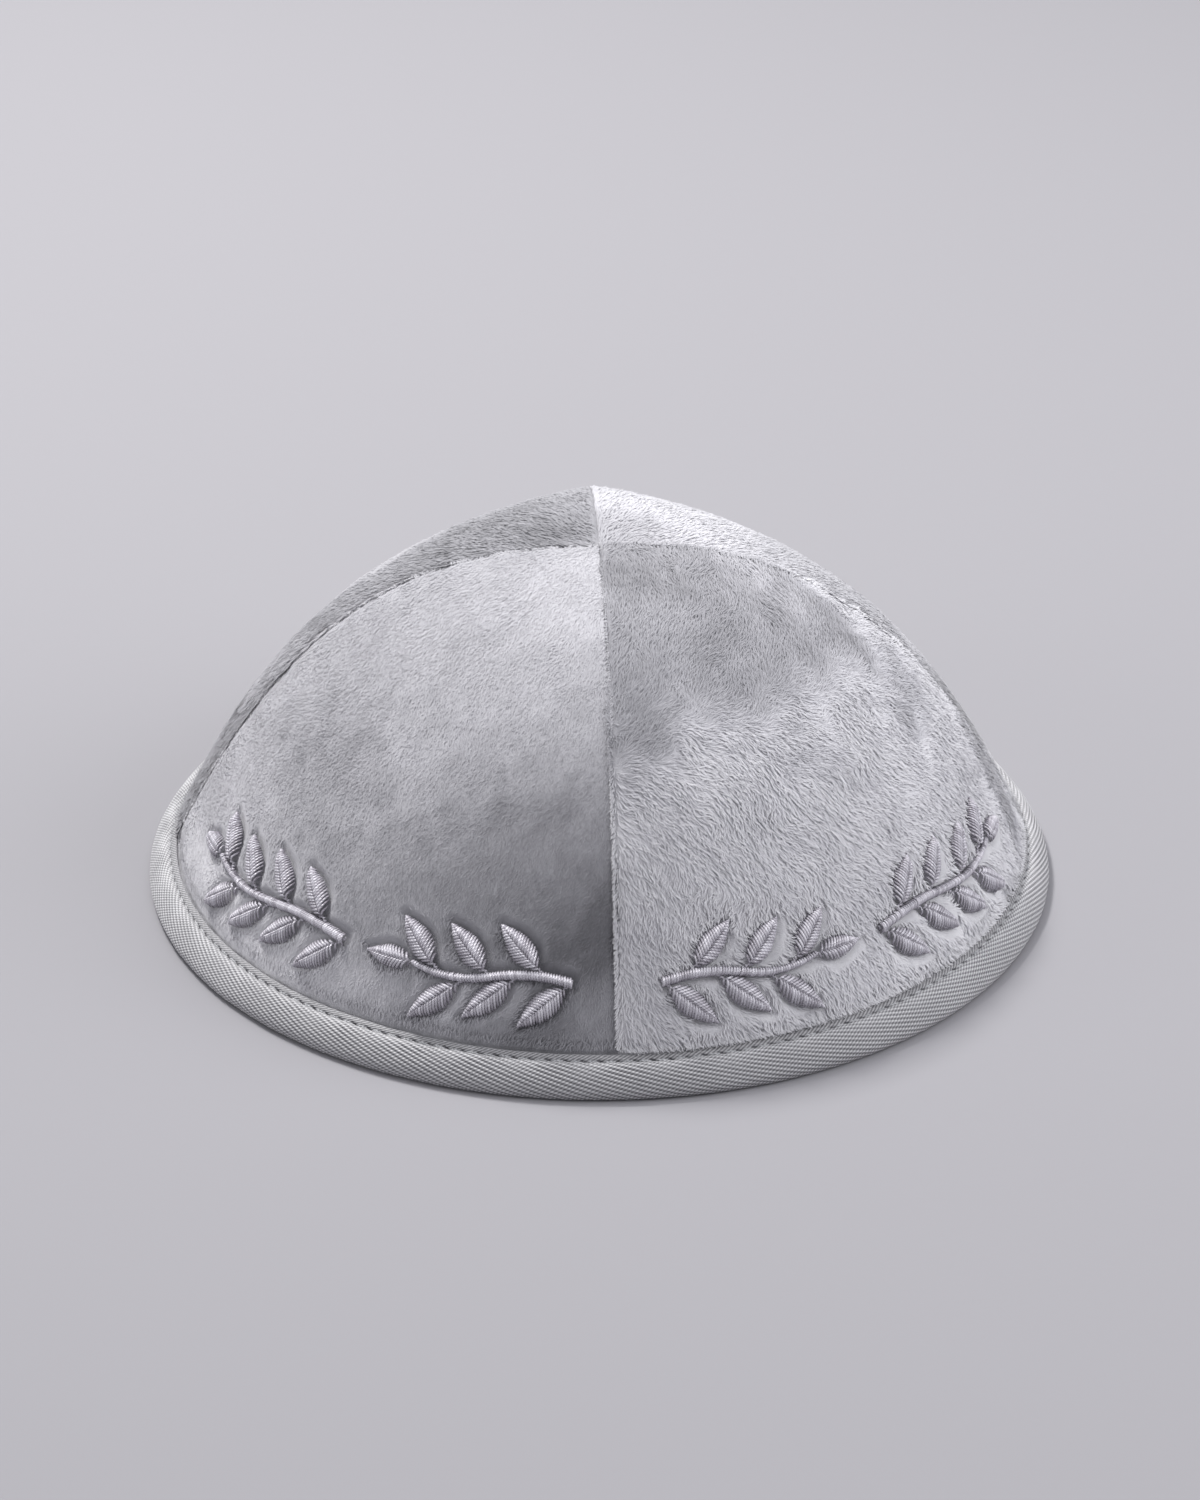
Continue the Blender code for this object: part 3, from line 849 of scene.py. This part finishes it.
def growPile(name, look, material):
    # each tuft is a bent blade of a four-cornered and a three-cornered face. Its knee lies at
    # root + length * share * (upright * cos(lean) + way it leans * sin(lean)), and its tip as far
    # again as the rest of its length, with the upper lean
    form = tuftForm
    quarter = look["quarter"]
    rng = np.random.default_rng(100 + quarter)
    places = tuftPlaces(quarter, look["tufts"], rng), fringePlaces(look["fringe"], rng)
    share, turn = np.concatenate(places, axis=1)
    kept = gapOnGore(share, turn, quarter) > form["noTuft"]
    share = share[kept]
    turn = turn[kept]
    count = len(share)
    root, outward, around, down, gap = clothPlace(share, quarter, turn)
    lie = lieOfPile(look, share, turn)

    # way each tuft leans: along the combing, drawn into locks, and across a seam
    heading = lie["heading"] + np.radians(rng.normal(0.0, look["stray"], count))
    pull = look["clump"] * form["drawIn"] * lie["pull"]
    leanWay = swung(around, down, heading) + swung(down, -around, heading) * pull[:, None]
    gore = quarterTurn * crownForm["edgeRadius"] * share
    atSeam = np.zeros(count)
    above, fade = form["seamChange"]
    overSeam, downSeam = form["seamWays"]
    for distance, way, ends in zip((turn * gore, (1.0 - turn) * gore), (-1.0, 1.0), look["seamLean"]):
        strength = ends[0] + (ends[1] - ends[0]) * ease((share - above) / fade)
        weight = strength * hill(distance, form["seamReach"])
        atSeam = np.maximum(atSeam, weight)
        across = (overSeam * way * around + downSeam * down) * weight[:, None]
        leanWay = leanWay * (1.0 - weight)[:, None] + across
    leanWay = unit(leanWay)

    # length and lean: longer on a lock, short and more upright at a seam, and never over the
    # binding's edge nor over the stitching
    length = look["length"] * (1.0 + form["unevenLength"] * rng.normal(0.0, 1.0, count).clip(-2.0, 2.0))
    length = length * (1.0 + form["lockLength"] * lie["lock"] * look["clump"])
    length = length * (1.0 + form["seamLength"] * atSeam)
    if quarter >= 2:
        near = np.nonzero(gap < form["nearMotif"])[0]
        away = awayFromMotif(share[near], turn[near], quarter, around[near], down[near])
        towards = np.maximum(-(leanWay[near] * away).sum(axis=1), 0.05)
        room = np.maximum((gap[near] + form["overMotif"]) / towards, form["shortest"])
        length[near] = np.minimum(length[near], room)
    downhill = np.maximum((leanWay * down).sum(axis=1), 0.0)
    room = ease((riseAt(share) - 0.1) / (look["length"] * downhill + 0.01))
    length = length * (0.5 + 0.5 * room)
    tilt = rng.normal(0.0, form["unevenLean"], count)
    tilt = tilt + form["lockLean"] * lie["lock"] * look["clump"] + form["seamLean"] * atSeam
    lower = np.radians(np.clip(look["lean"][0] + tilt, 12.0, 80.0) * (0.35 + 0.65 * room))
    upper = np.radians(np.clip(look["lean"][1] + tilt, 25.0, 88.0) * (0.35 + 0.65 * room))
    twist = rng.normal(0.0, form["twist"], (count, 1))
    wide = unit(np.cross(outward, leanWay) + outward * twist)
    lowerWay = swung(outward, leanWay, lower)
    twist = rng.normal(0.0, form["twist"], (count, 1))
    upperWay = swung(outward, leanWay, upper) + wide * twist
    root = root - form["rootDepth"] * outward
    knee = root + lowerWay * (form["knee"] * length)[:, None]
    tip = knee + upperWay * ((1.0 - form["knee"]) * length)[:, None]
    half = (look["halfWidth"] * rng.uniform(0.8, 1.2, count))[:, None] * wide
    atRoot = half * form["rootWidth"]
    points = np.stack([root - atRoot, root + atRoot, knee - half, knee + half, tip], axis=1)

    # rounded shading across each blade, between the blade's own and the cloth's
    face = unit(0.20 * unit(np.cross(lowerWay, wide)) + 0.90 * outward)
    spread = look["roundness"] * unit(half)
    normals = np.stack([face - spread, face + spread, face - spread, face + spread, face], axis=1)

    # painted light and shade round the stitching: a painted highlight a little way out from it, where the
    # pile rises again, and painted shade right beside it, where the pile dips; and painted sheen and shade
    # of the tufts at the seams
    beside = 0.07 * hill(gap - 1.3, 0.8) - 0.05 * (1.0 - ease(gap / 0.6))
    tone = np.clip(lie["tone"] + beside + look["seamTone"] * atSeam, 0.02, 1.0)[:, None]
    chance = rng.uniform(0.0, 1.0, (count, 1))
    colours = np.stack(np.broadcast_arrays(tone, form["heights"], chance), axis=-1).reshape(-1, 3)
    flat = bakingMap(count, np.array(form["inCell"]))
    base = 5 * np.arange(count)[:, None]
    faces = [base + np.array([[1, 0, 2, 3]]), base + np.array([[3, 2, 4]])]
    normals = unit(normals).reshape(-1, 3)
    return putMesh(name, points.reshape(-1, 3), faces, material, {"OFBake": flat}, colours, normals)


def makePileMaterial(name, combed):
    # shade from the tone attribute: lie of the pile in red, which carries painted sheen and shade, way up
    # the tuft in green, which darkens the roots as painted shade, chance in blue; on the dense pile the
    # fibres run along the combing
    look = {"Roughness": 0.85, "Specular IOR Level": 0.25, "Sheen Weight": 0.35, "Sheen Roughness": 0.45}
    material, tree, shader = newMaterial(name, look)
    parts = toneParts(tree)
    drift = noiseNode(tree, 45.0, 3.0)
    if combed:
        flat = addNode(tree, "UVMap", uv_map="combed").outputs["UV"]
        drawn = addNode(tree, "VectorMath", {0: flat, 1: (7.0, 1.1, 1.0)}, operation="MULTIPLY")
        fibre = noiseNode(tree, 1.0, 3.0, 0.6, drawn.outputs[0])
    else:
        fibre = noiseNode(tree, 2600.0, 2.0, 0.7)
    shade = addUp(tree, parts["Red"], (parts["Blue"], 0.08), (drift, 0.08), (fibre, 0.10))
    colour = colourRamp(tree, mathNode(tree, "SUBTRACT", shade, 0.13), pileStops)
    rootShade = addNode(tree, "MapRange", {0: parts["Green"], 3: 0.70, 4: 1.0})
    colour = shaded(tree, colour, rootShade.outputs[0])
    dress(tree, shader, colour, fibre, 0.00015 if combed else 0.00004)
    return material


clothMaterial = makeClothMaterial()
densePileMaterial = makePileMaterial("densePile", True)
looseTuftMaterial = makePileMaterial("looseTufts", False)
for node, look in pileLooks.items():
    cloth = makeCloth(node + "_cloth", look, densePileMaterial, clothMaterial)
    pile = growPile(node + "_pile", look, looseTuftMaterial)
    for piece in (cloth, pile):
        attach(piece, "root")
        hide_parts(node)
    print(node, "has", len(pile.data.vertices) // 5, "tufts")


def tapeProfile():
    # radius and height round the folded tape, from the top fold down the outer leg, round the
    # roll, level, up the inner leg and back through the pocket, and how many of the places show
    form = tapeForm
    fold = form["tape"] / 2
    half = np.linspace(0.0, np.pi, 5)
    pocketOut = form["hemOut"] + form["clearance"]
    pocketIn = form["hemIn"] - form["clearance"]
    sunk = fold - form["stripSink"] / 2
    topFold = hemPoint(fold - fold * np.sin(half), -fold - form["stripSink"] / 2 - sunk * np.cos(half))
    centre = np.array([form["rimRadius"] - form["rollRadius"], form["rollRadius"] - form["rollFlat"]])

    def fromCentre(angle):
        return form["rollRadius"] * np.stack([np.cos(angle), np.sin(angle)], axis=-1)

    foot = centre + fromCentre(form["rollStart"])
    top = hemPoint(0.0, 0.0)
    legLength = np.linalg.norm(foot - top)
    way = np.array([0.85, 1.08, 1.3, 1.52, 1.8, 2.4, 3.1, 3.9, 4.7, 5.5])
    share = (way / legLength)[:, None]
    below = way[:, None] - form["stitchLine"]
    outward = np.array([np.sin(form["kick"]), np.cos(form["kick"])])
    lift = form["puff"] * np.sin(np.pi * share) ** 0.8 - form["groove"] * hill(below, form["grooveHalf"])
    strip = form["stripSink"] * (1.0 - ease((below - 0.1) / 0.6))
    leg = top + (foot - top) * share + outward * (lift - strip)
    land = np.arcsin(centre[1] / form["rollRadius"])
    roll = centre + fromCentre(np.linspace(form["rollStart"], -land, 6))
    landEnd = centre - fromCentre(land)
    legFoot = hemPoint(form["legFoot"], pocketIn - form["tape"])
    corner = legFoot + legFoot[1] * np.array([1.0 / np.tan(form["kick"]), -1.0])
    t = np.linspace(0.0, 1.0, 5)[:, None]
    bend = (1 - t) ** 2 * landEnd + t**2 * legFoot + 2 * t * (1 - t) * corner
    inner = hemPoint(np.array([3.0, 1.9, 0.8, -0.1]), pocketIn - form["tape"])
    foldTop = fold - form["legRise"]
    innerFold = hemPoint(foldTop - fold * np.sin(half), pocketIn - fold - fold * np.cos(half))
    pocketEnd = form["hemLength"] + form["clearance"]
    pocket = hemPoint(np.array([pocketEnd, pocketEnd]), np.array([pocketIn, pocketOut]))
    shown = np.concatenate([topFold, leg, roll, bend, inner, innerFold])
    return np.concatenate([shown, pocket]), len(shown)


def makeTape(name, material):
    # the profile carried round the rim on columns that run askew, along the twill; each place is
    # moved out by ridge height * cos(a full turn for every ridge) / 2 and a soft unevenness, and in
    # at the needle holes
    form = tapeForm
    profile, shown = tapeProfile()
    rows = len(profile)
    columns = form["ridges"] * form["columnsPerRidge"]
    before = np.roll(profile, 1, axis=0)
    after = np.roll(profile, -1, axis=0)
    run = unit(after - before)
    outward = np.stack([-run[:, 1], run[:, 0]], axis=1)
    steps = np.linalg.norm(np.diff(profile[:shown], axis=0), axis=1)
    way = np.concatenate([[0.0], np.cumsum(steps)])
    columnArc = 2 * np.pi * form["rimRadius"] / columns
    jump = int(round(way[-1] / np.tan(form["twill"]) / columnArc))
    askew = jump * columnArc / way[-1]
    way = np.concatenate([way, np.full(rows - shown, way[-1])])
    v = way[:, None]
    column = np.arange(columns + 1)[None, :]
    angle = 2 * np.pi * column / columns + askew * v / form["rimRadius"]
    u = angle * form["rimRadius"]
    seen = (np.arange(rows) < shown)[:, None]
    ridge = 0.5 + 0.5 * np.cos(2 * np.pi * column / form["columnsPerRidge"])
    broad, fine = form["unevenness"]
    waver = broad * softNoise(u / 4.0, v / 2.2, 81) + fine * softNoise(u / 1.5, v / 0.9, 82)
    below = v - way[form["stitchRow"]]
    pitch = 2 * np.pi * form["rimRadius"] / form["stitches"]
    toHole = ((u / pitch + 0.5) % 1.0 - 0.5) * pitch
    hole = hill(toHole, form["holeLength"]) * hill(below - 0.30 * toHole, form["holeWidth"])
    pucker = form["pucker"] * np.cos(2 * np.pi * u / pitch) * hill(below - form["puckerBelow"], 1.2)
    flatter = 0.15 + 0.85 * ease((below - 0.1) / 0.5)
    lift = form["ridgeHeight"] * (ridge - 0.5) * flatter + waver - form["holeDepth"] * hole - pucker
    lift = lift * seen
    radius = profile[:, :1] + outward[:, :1] * lift
    height = np.maximum(profile[:, 1:] + outward[:, 1:] * lift, 0.0)
    points = atAngle(radius, angle, height)[:, :-1].reshape(-1, 3)
    quads = gridFaces(rows, columns, closed=True)
    number = np.arange(columns)
    last = (rows - 1) * columns
    join = [last + number, last + (number + 1) % columns, (number + 1 + jump) % columns]
    join = np.stack(join + [(number + jump) % columns], axis=1)
    flat = np.concatenate([gridCorners(u, v), gridCorners(u[-1:], v[-1:] + [[0.0], [1.0]])])
    # painted light and shade: lighter on the ridge tops and darker between them, painted shade on the
    # strip above the stitch line and its groove, sunk behind the puffed tape, and painted light over the
    # upper part of the tape, lit from above
    paintedLight = (ridge - 0.6) * flatter + 0.6 - 0.45 * (1.0 - ease(below / 0.5))
    paintedLight = paintedLight + 0.22 * (1.0 - ease(below / 4.0))
    # green darkens the needle holes as painted shade
    tone = np.stack([paintedLight, hole * seen, 0.5 + 0.5 * softNoise(u / 7.0, v / 3.0, 83)], axis=-1)
    tone = tone[:, :-1].reshape(-1, 3)
    faces = [np.concatenate([quads, join])]
    piece = putMesh(name, points, faces, material, {"tape": flat}, tone)
    return piece, profile, outward, way


def makeTapeMaterial():
    # twill: the ridges are in the mesh, and here each ridge is stepped into its floats
    look = {"Roughness": 0.55, "Specular IOR Level": 0.4, "Sheen Weight": 0.2, "Sheen Roughness": 0.5}
    material, tree, shader = newMaterial("twillTape", look)
    parts = toneParts(tree)
    x, y = mapParts(tree, "tape")
    turn = tapeForm["twill"] + tapeForm["floatTurn"]
    across = addUp(tree, 0.0, (x, np.cos(turn)), (y, np.sin(turn)))
    floats = wave(tree, across, tapeForm["floats"])
    fibre = noiseNode(tree, 3200.0, 2.0, 0.7)
    drift = noiseNode(tree, 60.0, 3.0)
    # red carries the painted light and shade of the ridges, the strip and the upper tape, and green the
    # painted shade of the needle holes
    shade = addUp(tree, 0.09, (parts["Red"], 0.44), (floats, 0.19), (fibre, 0.24), (drift, 0.12))
    shade = addUp(tree, shade, (parts["Green"], -1.1))
    height = addUp(tree, floats, (fibre, 0.6))
    dress(tree, shader, colourRamp(tree, shade, tapeForm["stops"]), height, 0.00003)
    return material


tape, profile, profileOut, tapeWay = makeTape("binding_tape", makeTapeMaterial())
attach(tape, "root")
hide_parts("rim_binding")
print("tape has", len(tape.data.polygons), "faces")


def layThreads(name, spines, outward, halfWide, halfThick, sides, height, lengths, rng, material):
    # an oval carried along every row of spines, its ends closed: spine + side * half width * cos +
    # up * half thickness * sin. The thread map holds the way round a thread and, in millimetres,
    # along it, and the tone its chance and its height, which the material makes into painted light:
    # lighter high on the stitch and darker low down, where it sinks into the pile or a needle hole
    count, rings = spines.shape[:2]
    forward = unit(np.gradient(spines, axis=1))
    sideWay = unit(np.cross(forward, outward))
    upWay = np.cross(sideWay, forward)
    turns = 2 * np.pi * np.arange(sides) / sides
    wide = (halfWide[..., None] * np.cos(turns))[..., None] * sideWay[:, :, None]
    thick = (halfThick[..., None] * np.sin(turns))[..., None] * upWay[:, :, None]
    points = (spines[:, :, None] + wide + thick).reshape(-1, 3)
    base = rings * sides * np.arange(count)[:, None]
    quads = (base[..., None] + gridFaces(rings, sides, closed=True)).reshape(-1, 4)
    ring = np.arange(sides)
    caps = np.concatenate([base + ring[::-1], base + (rings - 1) * sides + ring])

    u = np.linspace(0.05, 0.95, sides + 1)[None, :]
    along = np.linspace(0.0, 1.0, rings)[:, None]
    cap = np.stack([0.5 + 0.03 * np.cos(turns), 0.04 + 0.0024 * np.sin(turns)], axis=1)
    cells = [gridCorners(u, 0.08 + 0.84 * along), cap, cap + [0.0, 0.94]]
    way = gridCorners(u, along) * np.stack([np.ones(count), lengths], axis=1)[:, None, :]
    maps = {"OFBake": np.concatenate([bakingMap(count, cell) for cell in cells]),
            "thread": np.concatenate([way.reshape(-1, 2), np.zeros((2 * count * sides, 2))])}
    chance = rng.uniform(0.0, 1.0, (count, 1))
    tone = np.stack(np.broadcast_arrays(chance, height, 0.5), axis=-1)
    tone = np.repeat(tone, sides, axis=1).reshape(-1, 3)
    return putMesh(name, points, [quads, caps], material, maps, tone)


# satin stitch: threads laid side by side over a low pad
satinForm = {
    "pitch": 0.46,
    "halfWide": 0.28,
    "halfThick": 0.17,
    "top": 0.85,                  # of the threads' middles above the tips of the pile
    "edge": -0.65,                # and of their ends, down in the pile
    "leafSlant": np.radians(52),  # of a leaf's threads from its vein, forwards on both sides
    "stemSlant": np.radians(72),
    "vein": 0.26,                 # depth and half width of the groove between a leaf's halves
    "veinHalf": 0.28,
    "longest": 9.0,               # a thread is looked for this far from the vein, in so many steps
    "steps": 300,
    "rings": 6,
    "sides": 5,
    "stops": [(0.0, (0.11, 0.10, 0.13)), (0.4, (0.40, 0.375, 0.43)), (1.0, (0.86, 0.84, 0.91))],
}


def stitchAcross(veinStart, slant, sides, widthAt):
    # threads that leave the vein at an angle: along it they lie at start + reach * cos(slant), and
    # off it at reach * sin(slant), from where they enter the shape to where they leave it
    form = satinForm
    reach = np.linspace(0.0, form["longest"], form["steps"] + 1)[None, :]
    inside = reach * np.sin(slant) < widthAt(veinStart[:, None] + reach * np.cos(slant))
    kept = inside.sum(axis=1) > 3
    first = np.argmax(inside, axis=1)
    last = form["steps"] - np.argmax(inside[:, ::-1], axis=1)
    ends = np.stack([first, last], axis=1)[kept] * form["longest"] / form["steps"]
    share = np.linspace(0.0, 1.0, form["rings"])[None, :]
    reach = ends[:, :1] + (ends[:, 1:] - ends[:, :1]) * share
    return veinStart[kept, None], reach, sides[kept, None]


def satinPlaces(run, rng):
    # for every thread and ring: distances along and up the gore, share of the way from the vein to
    # the edge, distance off the vein, half width there, and share of the way along the thread
    form = satinForm
    share = np.linspace(0.0, 1.0, form["rings"])[None, :]
    first, last = branchEnds(run)
    count = int(round((last - first) / form["pitch"] * np.sin(form["stemSlant"])))
    middle = first + (np.arange(count)[:, None] + 0.5) / count * (last - first)
    half = 1.06 * stemHalf((middle - first) / (last - first))
    half = half + np.abs(rng.normal(0.0, 0.06, (count, 1)))
    slope = (stemRise(middle + 0.05, first, last) - stemRise(middle - 0.05, first, last)) / 0.1
    heading = np.arctan(slope) + form["stemSlant"]
    toEdge = 2.0 * share - 1.0
    reach = toEdge * half / np.sin(form["stemSlant"])
    along = middle + reach * np.cos(heading)
    rise = stemRise(middle, first, last) + reach * np.sin(heading)
    parts = [np.broadcast_arrays(along, rise, np.abs(toEdge), form["longest"], half, share)]
    step = form["pitch"] / np.sin(form["leafSlant"])
    for leafAlong, leafRise, leafHeading, size in leavesOf(run):
        length = size * branchForm["leafLength"]

        def widthAt(forward):
            return size * leafHalf(np.clip(forward / length, 0.0, 1.0)) * 1.02

        starts = np.arange(-2.0, length, step)
        starts = np.concatenate([starts, starts + step / 2])
        sides = np.repeat([1.0, -1.0], len(starts) // 2)
        starts, reach, sides = stitchAcross(starts, form["leafSlant"], sides, widthAt)
        uneven = rng.normal(0.0, 0.05, reach[:, :1].shape)
        reach = reach + (0.10 * share - 0.06 * (1.0 - share)) + uneven * share
        forward = starts + reach * np.cos(form["leafSlant"])
        off = reach * np.sin(form["leafSlant"])
        width = np.maximum(widthAt(forward), 0.05)
        along, rise = turned(forward, sides * off, -leafHeading)
        ratio = np.clip(off / width, 0.0, 1.0)
        parts.append(np.broadcast_arrays(leafAlong + along, leafRise + rise, ratio, off, width, share))
    return [np.concatenate(part) for part in zip(*parts)]


def taperAt(share):
    # a thread's thickness from end to end, full in the middle
    return 0.6 + 0.4 * np.sin(np.pi * share) ** 0.5


def makeSatin(name, side, run, material, seed):
    # lift = edge + (top - edge) * (1 - ratio^2.2)^0.8 * fullness, less a groove along the vein
    rng = np.random.default_rng(seed)
    form = satinForm
    along, rise, ratio, off, width, share = satinPlaces(run, rng)
    count = len(along)
    full = np.minimum(1.0, (width / 1.2) ** 0.6)
    dome = (1.0 - np.minimum(ratio, 1.0) ** 2.2) ** 0.8
    top = (form["top"] - form["edge"]) * full + rng.normal(0.0, 0.02, (count, 1))
    groove = hill(off, form["veinHalf"]) * full
    spines, outward = onGore(along, rise, side, form["edge"] + top * dome - form["vein"] * groove)
    taper = taperAt(share)
    halfWide = form["halfWide"] * taper * rng.uniform(0.92, 1.08, (count, 1))
    lengths = np.linalg.norm(np.diff(spines, axis=1), axis=2).sum(axis=1)
    # the tone's height paints a highlight on the top of the dome and shade at the edges and in the vein
    return layThreads(name, spines, outward, halfWide, form["halfThick"] * taper, form["sides"],
                      dome - 0.5 * groove, lengths, rng, material)


def makeThreadMaterial(name, stops):
    # shiny filament thread: tone holds chance in red and the way up the stitch in green, which paints a
    # highlight on the top of a stitch and shade low down
    look = {"Roughness": 0.36, "Specular IOR Level": 0.7, "Sheen Weight": 0.2, "Sheen Roughness": 0.4}
    material, tree, shader = newMaterial(name, look)
    parts = toneParts(tree)
    x, y = mapParts(tree, "thread")
    twist = mathNode(tree, "SINE", addUp(tree, 0.0, (x, 6.0 * np.pi), (y, 9.0)))
    fibre = noiseNode(tree, 2800.0, 2.0, 0.6)
    shade = addUp(tree, 0.03, (parts["Red"], 0.42), (parts["Green"], 0.47), (twist, 0.05), (fibre, 0.12))
    dress(tree, shader, colourRamp(tree, shade, stops), addUp(tree, twist, (fibre, 0.4)), 0.00003)
    return material


satinMaterial = makeThreadMaterial("satinThread", satinForm["stops"])
leafNumber = 0
branchNumber = 0
for side in (-1, 1):
    for run in branchForm["runs"]:
        branchNumber += 1
        leaves = range(leafNumber + 1, leafNumber + 1 + len(leavesOf(run)))
        leafNumber = leaves[-1]
        satin = makeSatin(f"branch_{branchNumber}_satin", side, run, satinMaterial, 200 + branchNumber)
        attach(satin, "root")
        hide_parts(f"branch_stem_{branchNumber}", *[f"branch_leaf_{leaf:02d}" for leaf in leaves])
        print(satin.name, "has", len(satin.data.polygons), "faces")

# topstitch through the tape, outside and inside
stitchForm = {
    "length": 2.75,
    "halfWide": 0.15,
    "halfThick": 0.12,
    "slant": 0.20,     # of one end above the other
    "lift": 0.04,      # of a stitch's middle over the groove
    "sink": 0.32,      # of its ends into the needle holes
    "rings": 7,
    "sides": 6,
    "innerPlace": (1.3, -3.8),   # down the hem and out from it, where the inside row is
    "stops": [(0.0, (0.10, 0.10, 0.115)), (0.4, (0.32, 0.325, 0.35)), (1.0, (0.62, 0.625, 0.65))],
}


def makeTopstitch(name, row, material, seed):
    # threads from each needle hole to the next one, along the rim on one row of the tape, lifted by
    # lift * arch - sink * (1 - arch), where arch is sin(pi * share)^0.7
    rng = np.random.default_rng(seed)
    form = stitchForm
    count = tapeForm["stitches"]
    share = np.linspace(0.0, 1.0, form["rings"])[None, :]
    middle = (np.arange(count)[:, None] + 0.5) / count * 2 * np.pi
    pitch = 2 * np.pi * tapeForm["rimRadius"] / count
    radius, height = profile[row]
    out = profileOut[row]
    angle = middle + (share - 0.5) * form["length"] / pitch * 2 * np.pi / count
    arch = np.sin(np.pi * share) ** 0.7
    lift = form["lift"] * arch - form["sink"] * (1 - arch) + rng.normal(0.0, 0.02, (count, 1))
    drop = form["slant"] * (share - 0.5) + rng.normal(0.0, 0.03, (count, 1))
    spines = atAngle(radius + out[0] * lift + out[1] * drop, angle, height + out[1] * lift - out[0] * drop)
    taper = taperAt(share)
    lengths = np.full(count, form["length"])
    # the arch as the tone's height paints shade at the ends, where the stitch sinks into the needle holes
    return layThreads(name, spines, atAngle(out[0], angle, out[1]), form["halfWide"] * taper,
                      form["halfThick"] * taper, form["sides"], arch, lengths, rng, material)


stitchMaterial = makeThreadMaterial("topstitchThread", stitchForm["stops"])
toInner = np.abs(profile[:len(tapeWay)] - hemPoint(*stitchForm["innerPlace"])).sum(axis=1)
stitchRows = (("topstitch_outer", tapeForm["stitchRow"]), ("topstitch_inner", int(np.argmin(toInner))))
for number, (name, row) in enumerate(stitchRows):
    stitches = makeTopstitch(name, row, stitchMaterial, 301 + number)
    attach(stitches, "root")
    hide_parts("rim_binding")
print("topstitch sewn")

# plain pale floor and soft studio light
stageLook = {
    "floorColour": (0.331, 0.325, 0.348, 1.0),
    "floorRadius": 1300.0,
    "floorCorners": 96,
    "world": (0.82, 0.82, 0.86, 1.0),
    "worldStrength": 0.27,
    "aim": (0.0, 0.0, 0.03),
    "lights": {   # place, power, size and colour
        "key": ((-0.36, 0.58, 1.00), 14.0, 0.25, (1.0, 0.99, 0.97)),
        "fill": ((0.90, -0.15, 0.60), 6.5, 0.8, (0.98, 0.985, 1.0)),
        "side": ((-0.95, -0.25, 0.36), 1.9, 0.6, (0.98, 0.985, 1.0)),
        "sky": ((0.05, 0.30, 1.6), 14.6, 2.2, (0.97, 0.975, 1.0)),
    },
}


def areaLight(name, place, power, size, colour):
    # turned from straight down until it looks at the aim
    data = bpy.data.lights.new(name, "AREA")
    data.energy = power
    data.size = size
    data.color = colour
    aim = np.array(stageLook["aim"]) - np.array(place)
    tilt = np.arctan2(np.hypot(aim[0], aim[1]), -aim[2])
    putObject(name, data, place, (tilt, 0.0, np.arctan2(aim[1], aim[0]) - quarterTurn))


def makeStage():
    look = {"Roughness": 0.9, "Specular IOR Level": 0.2, "Base Color": stageLook["floorColour"]}
    material = newMaterial("paleFloor", look)[0]
    corners = stageLook["floorCorners"]
    angle = np.linspace(0.0, 2 * np.pi, corners, endpoint=False)
    points = atAngle(stageLook["floorRadius"], angle, 0.0)
    putMesh("floor", points, [np.arange(corners)[None, :]], material)
    world = bpy.data.worlds.new("studio")
    world.use_nodes = True
    background = world.node_tree.nodes["Background"]
    background.inputs["Color"].default_value = stageLook["world"]
    background.inputs["Strength"].default_value = stageLook["worldStrength"]
    bpy.context.scene.world = world
    for name, (place, power, size, colour) in stageLook["lights"].items():
        areaLight(name, place, power, size, colour)
    bpy.context.scene.view_settings.view_transform = "Standard"


makeStage()
print("stage set")
